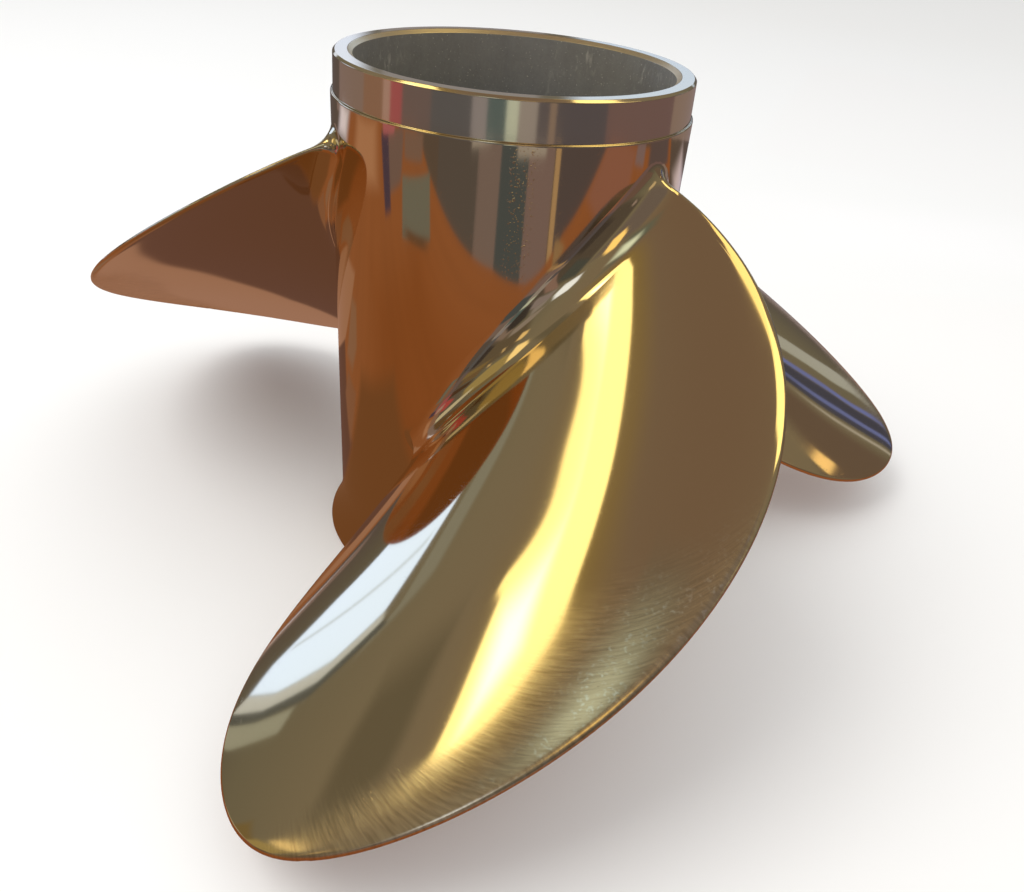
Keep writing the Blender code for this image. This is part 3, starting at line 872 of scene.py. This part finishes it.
def hang_room():
    """Lamps, posts, boards and walls all round, for the root fillets and the backs of the blades."""
    sky_card("white_lamp", [(-173, 20), (-165, 18), (-157, 22), (-157, 31), (-163, 34), (-173, 32)],
             (1.04, 1.2, 1.6), 0.35, 1.7)
    sky_card("gold_lamp", [(156, 38), (163, 32), (178, 35), (184, 40), (183, 46), (165, 45)],
             (1.4, 1.0, 0.38), 0.4, 1.7)
    sky_card("gold_dash", [(-117, 23), (-104, 21.5), (-91, 21), (-92, 25), (-99, 30), (-110, 29)],
             (1.2, 0.95, 0.48), 0.3, 1.7)
    sky_card("amber_dash", [(-136, 19), (-126, 19), (-122, 23), (-126, 25), (-132, 24)],
             (0.9, 0.66, 0.32), 0.4, 1.7)
    sky_card("small_dash_left", [(-129, 12.5), (-122, 14.5), (-122, 16), (-128, 15)],
             (0.6, 0.45, 0.25), 0.3, 1.7)
    sky_card("small_dash_right", [(-118, 10), (-113, 11), (-113, 13), (-117, 12)],
             (0.6, 0.45, 0.25), 0.3, 1.7)
    sky_card("far_gold_dash", [(114, 23), (122, 22), (126, 26), (122, 29), (116, 28)],
             (0.6, 0.48, 0.32), 0.4, 1.7)
    sky_card("far_rose_dash", [(126, 16), (131, 16), (134, 20), (131, 22)],
             (0.32, 0.26, 0.27), 0.4, 1.7)
    sky_card("pale_post", [(-157, 12), (-150, 5), (-141, 7), (-141, 13), (-147, 19), (-158, 22)],
             (0.28, 0.25, 0.26), 0.4, 2.4)
    sky_card("pale_post_foot", [(-168, -12), (-157, -12), (-142, 6), (-150, 9)],
             (0.24, 0.19, 0.19), 0.5, 2.5)
    sky_card("rose_corner", [(-176, 3), (-160, 8), (-152, 12), (-158, 18), (-176, 18)],
             (0.27, 0.25, 0.28), 0.5, 2.6)
    sky_card("dark_machine_left", [(-176, -8), (-165, -8), (-151, 2), (-152, 6), (-158, 9),
                                   (-176, 1)], (0.048, 0.043, 0.046), 0.3, 2.2)
    sky_card("dark_machine", [(-158, -12), (-138, -12), (-130, -7), (-128, -1), (-131, 1), (-144, 2)],
             (0.05, 0.042, 0.045), 0.25, 2.2)
    sky_card("olive_wall", [(-152, -3), (-112, -3), (-112, 22), (-134, 24), (-152, 18)],
             (0.13, 0.105, 0.08), 0.4, 4.5)
    sky_card("mustard_post", [(-129, -8), (-121, -8), (-116, 9), (-124, 12)],
             (0.22, 0.16, 0.075), 0.5, 3.2)
    sky_card("tan_panel", [(-121, -3), (-113, -3), (-110, 8), (-120, 9)],
             (0.17, 0.115, 0.065), 0.4, 3.0)
    sky_card("mustard_wall", [(-112, 22), (-92, 23), (-86, 20), (-86, 10), (-90, 5), (-100, 4),
                              (-107, 9), (-112, 14)], (0.36, 0.29, 0.13), 0.25, 3.0)
    sky_card("mustard_shade", [(-89, 19), (-80, 20), (-80, 8), (-87, 8)],
             (0.20, 0.15, 0.07), 0.4, 2.7)
    sky_card("brown_gap", [(-113, -6), (-104, -6), (-103, 7), (-110, 8)],
             (0.08, 0.045, 0.028), 0.5, 2.6)
    sky_card("red_box", [(-105, -8), (-93, -8), (-89, -1), (-97, 2), (-103, -1)],
             (0.42, 0.08, 0.09), 0.3, 2.3)
    sky_card("cream_board", [(-94, 11), (-89, 11), (-80, 3), (-75, -4), (-78, -7), (-86, -3),
                             (-91, 4)], (0.56, 0.53, 0.43), 0.3, 2.3)
    sky_card("tan_wall", [(-76, -7), (-55, -7), (-60, 3), (-74, 8)], (0.134, 0.08, 0.04), 0.3, 4.0)
    sky_card("rose_ceiling", [(118, 22), (182, 24), (182, 58), (112, 58)],
             (0.165, 0.14, 0.145), 0.4, 5.0)
    sky_card("dark_room", [(112, -14), (186, -14), (186, 24), (150, 28), (125, 24)],
             (0.095, 0.08, 0.074), 0.3, 4.6)
    sky_card("darkest_corner", [(118, -12), (150, -12), (160, 6), (135, 10)],
             (0.06, 0.05, 0.05), 0.5, 3.6)
    sky_card("green_door", [(158, 4), (178, 4), (190, 27), (172, 27)],
             (0.075, 0.085, 0.09), 0.5, 3.4)
    sky_card("brown_wall", [(92, -12), (120, -12), (124, 8), (108, 12), (94, 12)],
             (0.16, 0.105, 0.10), 0.4, 4.0)
    sky_card("rose_band", [(147, -15), (160, -15), (184, 5), (190, 18), (184, 14), (172, 3)],
             (0.265, 0.18, 0.18), 0.3, 2.6)
    sky_card("rose_board", [(181, 0), (190, -5), (197, 8), (195, 18), (190, 18)],
             (0.26, 0.23, 0.275), 0.4, 2.4)


def lay_front_stripes():
    """Muted uprights behind the camera: near ones for the barrel, far ones for its turned band."""
    near_stripes = (
        ("near_olive", -139, -164, (0.105, 0.092, 0.10)),
        ("near_rose_left", -163, -176.5, (0.195, 0.155, 0.172)),
        ("near_green", -176, -192, (0.075, 0.092, 0.118)),
        ("near_rose_right", 168, 153, (0.203, 0.151, 0.172)),
        ("near_gold", 152.5, 149.5, (0.42, 0.29, 0.18)),
        ("near_brown", 149.5, 118, (0.095, 0.078, 0.095)),
    )
    for name, start, end, colour in near_stripes:
        ground_sector(name, (start, end), NEAR_RING, colour, -1)
    ground_card("near_pale_left", [(-0.225, -0.556), (-0.262, -0.645), (-0.11, -0.70),
                                   (-0.095, -0.62)], (0.36, 0.34, 0.37), 0, 0.25)
    ground_card("near_pale_right", [(0.045, -0.70), (0.040, -0.585), (0.14, -0.575),
                                    (0.234, -0.552), (0.27, -0.64)], (0.36, 0.34, 0.37), 0, 0.25)
    ground_card("gold_hook", [(0.175, -0.30), (0.215, -0.358), (0.232, -0.352), (0.26, -0.31)],
                (0.30, 0.20, 0.12), 2, 0.5)
    far_stripes = (
        ("far_tan", -45, -79, (0.24, 0.18, 0.185)),
        ("far_orange", -79, -97, (0.26, 0.155, 0.125)),
        ("far_pale", -97, -103, (0.40, 0.27, 0.27)),
        ("far_red", -103, -112, (0.36, 0.10, 0.13)),
        ("far_brown_left", -112, -132, (0.155, 0.12, 0.14)),
        ("far_olive", -132, -157, (0.11, 0.112, 0.145)),
        ("far_pale_left", -157, -166, (0.27, 0.26, 0.33)),
        ("far_green", -166, -177, (0.10, 0.145, 0.18)),
        ("far_white", -177, -184, (0.52, 0.60, 0.60)),
        ("far_rose", -184, -195, (0.31, 0.29, 0.33)),
        ("far_dark", 165, 158, (0.11, 0.10, 0.13)),
        ("far_gold", 158, 154, (0.26, 0.20, 0.19)),
        ("far_brown_right", 154, 122, (0.10, 0.092, 0.125)),
        ("far_maroon", 122, 65, (0.17, 0.115, 0.135)),
        ("far_sand", 65, 20, (0.26, 0.20, 0.20)),
    )
    for name, start, end, colour in far_stripes:
        ground_sector(name, (start, end), FAR_RING, colour, 1)


def make_hub(cast, turned):
    """Inner hub: a cast tube with its ends faced and its corners broken."""
    face_width = CHAMFER * 1.5
    bm = spun(rounded([
        (HUB_RADIUS, HUB_FRONT, face_width),
        (HUB_RADIUS, HUB_AFT, face_width),
        (HUB_BORE_RADIUS, HUB_AFT, CORNER_ROUND),
        (HUB_BORE_RADIUS, HUB_FRONT, CORNER_ROUND),
    ]), HUB_STEPS)
    for face in bm.faces:
        middle = face.calc_center_median()
        across = hypot(middle.x, middle.y)
        end = middle.z > HUB_FRONT - CORNER_ROUND or middle.z < HUB_AFT + CORNER_ROUND
        face.material_index = 1 if end or across < HUB_BORE_RADIUS + CORNER_ROUND / 2 else 0
    close_mesh("hub_casting", bm, (cast, turned), "cast_bronze", "inner_hub")


def make_bushing(rubber):
    """Rubber pressed in the hub: its ends bulge a little and carry a moulded groove."""
    outside = HUB_BORE_RADIUS - 0.0003
    inside = SLEEVE_RADIUS + 0.0003
    middle = (outside + inside) / 2
    groove, groove_depth = 0.0009, 0.0010
    ends = []
    for height, inward in ((BUSHING_FRONT, -1), (BUSHING_AFT, 1)):
        end = [
            (inside, height, 0.0003),
            (middle - groove, height, 0.0003),
            (middle - groove / 2, height + inward * groove_depth, 0.0002),
            (middle + groove / 2, height + inward * groove_depth, 0.0002),
            (middle + groove, height, 0.0003),
            (outside, height, 0.0008),
        ]
        ends.append(end if inward == -1 else end[::-1])
    bm = spun(rounded(ends[0] + ends[1], support=0.00005), HUB_STEPS)
    close_mesh("hub_rubber", bm, (rubber,), "bushing_rubber", "rubber_bushing")


def make_sleeve(brass):
    """Splined sleeve: a broached bore of flat-topped teeth, with both ends chamfered."""
    tooth_shape = ((0.06, SPLINE_MAJOR_RADIUS), (0.26, SPLINE_MAJOR_RADIUS),
                   (0.44, SPLINE_MAJOR_RADIUS), (0.56, SPLINE_MINOR_RADIUS),
                   (0.75, SPLINE_MINOR_RADIUS), (0.94, SPLINE_MINOR_RADIUS))
    pitch = 2 * pi / SPLINE_TEETH
    bm = bmesh.new()
    loops = []
    for outer in (False, True):
        points = []
        for tooth in range(SPLINE_TEETH):
            for share, radius in tooth_shape:
                angle = pitch * (tooth + share)
                points.append(bm.verts.new(on_cylinder(SLEEVE_RADIUS if outer else radius,
                                                       angle, SLEEVE_AFT)))
        loops += [bm.edges.new(pair) for pair in zip(points, points[1:] + points[:1])]
    end = bmesh.ops.bridge_loops(bm, edges=loops)["faces"]
    top = bmesh.ops.extrude_face_region(bm, geom=end)["geom"]
    raised = [part for part in top if isinstance(part, bmesh.types.BMVert)]
    bmesh.ops.translate(bm, verts=raised, vec=(0, 0, SLEEVE_FRONT - SLEEVE_AFT))
    bmesh.ops.recalc_face_normals(bm, faces=bm.faces)
    rims = [edge for edge in bm.edges
            if len(edge.link_faces) == 2 and edge.calc_face_angle() > radians(RIM_ANGLE)
            and abs(edge.verts[0].co.z - edge.verts[1].co.z) < CORNER_ROUND]
    bmesh.ops.bevel(bm, geom=rims, offset=CORNER_ROUND, segments=2, affect="EDGES", profile=0.5,
                    material=-1)
    close_mesh("hub_sleeve", bm, (brass,), "sleeve_brass", "splined_sleeve")


def make_rib(number, cast):
    """Rib between the hub and the barrel, with a cast fillet at each wall and rounded ends."""
    bm = bmesh.new()
    half = RIB_THICKNESS / 2
    arc = [pi / 2 * step / RIB_ARC_STEPS for step in range(RIB_ARC_STEPS + 1)]

    def side(inner_radius, outer_radius):
        inner_end, outer_end = [], []
        for turn in arc:
            spread = half + RIB_FILLET * (1 - sin(turn))
            lift = RIB_FILLET * (1 - cos(turn))
            inner_end.append((sqrt(inner_radius ** 2 - spread ** 2) + lift, spread))
            outer_end.append((sqrt(outer_radius ** 2 - spread ** 2) - lift, spread))
        return inner_end + outer_end[::-1]

    def outline(height):
        edge = side(HUB_RADIUS - CORNER_ROUND / 2, bore_radius(height) + CORNER_ROUND / 2)
        mirrored = [(x, -y) for x, y in edge[::-1]]
        return [bm.verts.new((x, y, height)) for x, y in edge + mirrored]

    heights = [RIB_AFT + (RIB_FRONT - RIB_AFT) * row / RIB_ROWS for row in range(RIB_ROWS + 1)]
    loops = [outline(height) for height in heights]
    for below, above in zip(loops, loops[1:]):
        rings = [bm.edges.get(pair) or bm.edges.new(pair)
                 for loop in (below, above) for pair in zip(loop, loop[1:] + loop[:1])]
        bmesh.ops.bridge_loops(bm, edges=rings)
    for loop in (loops[0], loops[-1]):
        bm.faces.new(loop)
    bmesh.ops.recalc_face_normals(bm, faces=bm.faces)
    rims = [edge for edge in bm.edges
            if edge.calc_face_angle() > radians(RIM_ANGLE)
            and abs(edge.verts[0].co.z - edge.verts[1].co.z) < CORNER_ROUND]
    bmesh.ops.bevel(bm, geom=rims, offset=CHAMFER * 2, segments=5, affect="EDGES", profile=0.5,
                    material=-1)
    turn = Matrix.Rotation(pi / 6 + 2 * pi * number / BLADES, 3, "Z")
    bmesh.ops.rotate(bm, verts=bm.verts, matrix=turn)
    close_mesh(f"cast_rib_{number + 1}", bm, (cast,), "cast_bronze", f"rib_{number + 1}")


turned = turned_bronze()
cast = cast_bronze()
make_barrel(polished_bronze("polished barrel", 0.0, 1.0), turned, cast)
make_blades(polished_bronze("polished blades", 1.0, 0.0))
make_hub(cast, turned)
make_bushing(bushing_rubber())
make_sleeve(sleeve_brass())
for rib in range(BLADES):
    make_rib(rib, cast)
make_camera()
make_floor()
make_world()
make_key_light()
hang_lamps()
hang_windows()
lay_table()
hang_room()
lay_front_stripes()
bpy.context.scene.view_settings.view_transform = "Standard"
bpy.context.scene.cycles.use_denoising = True
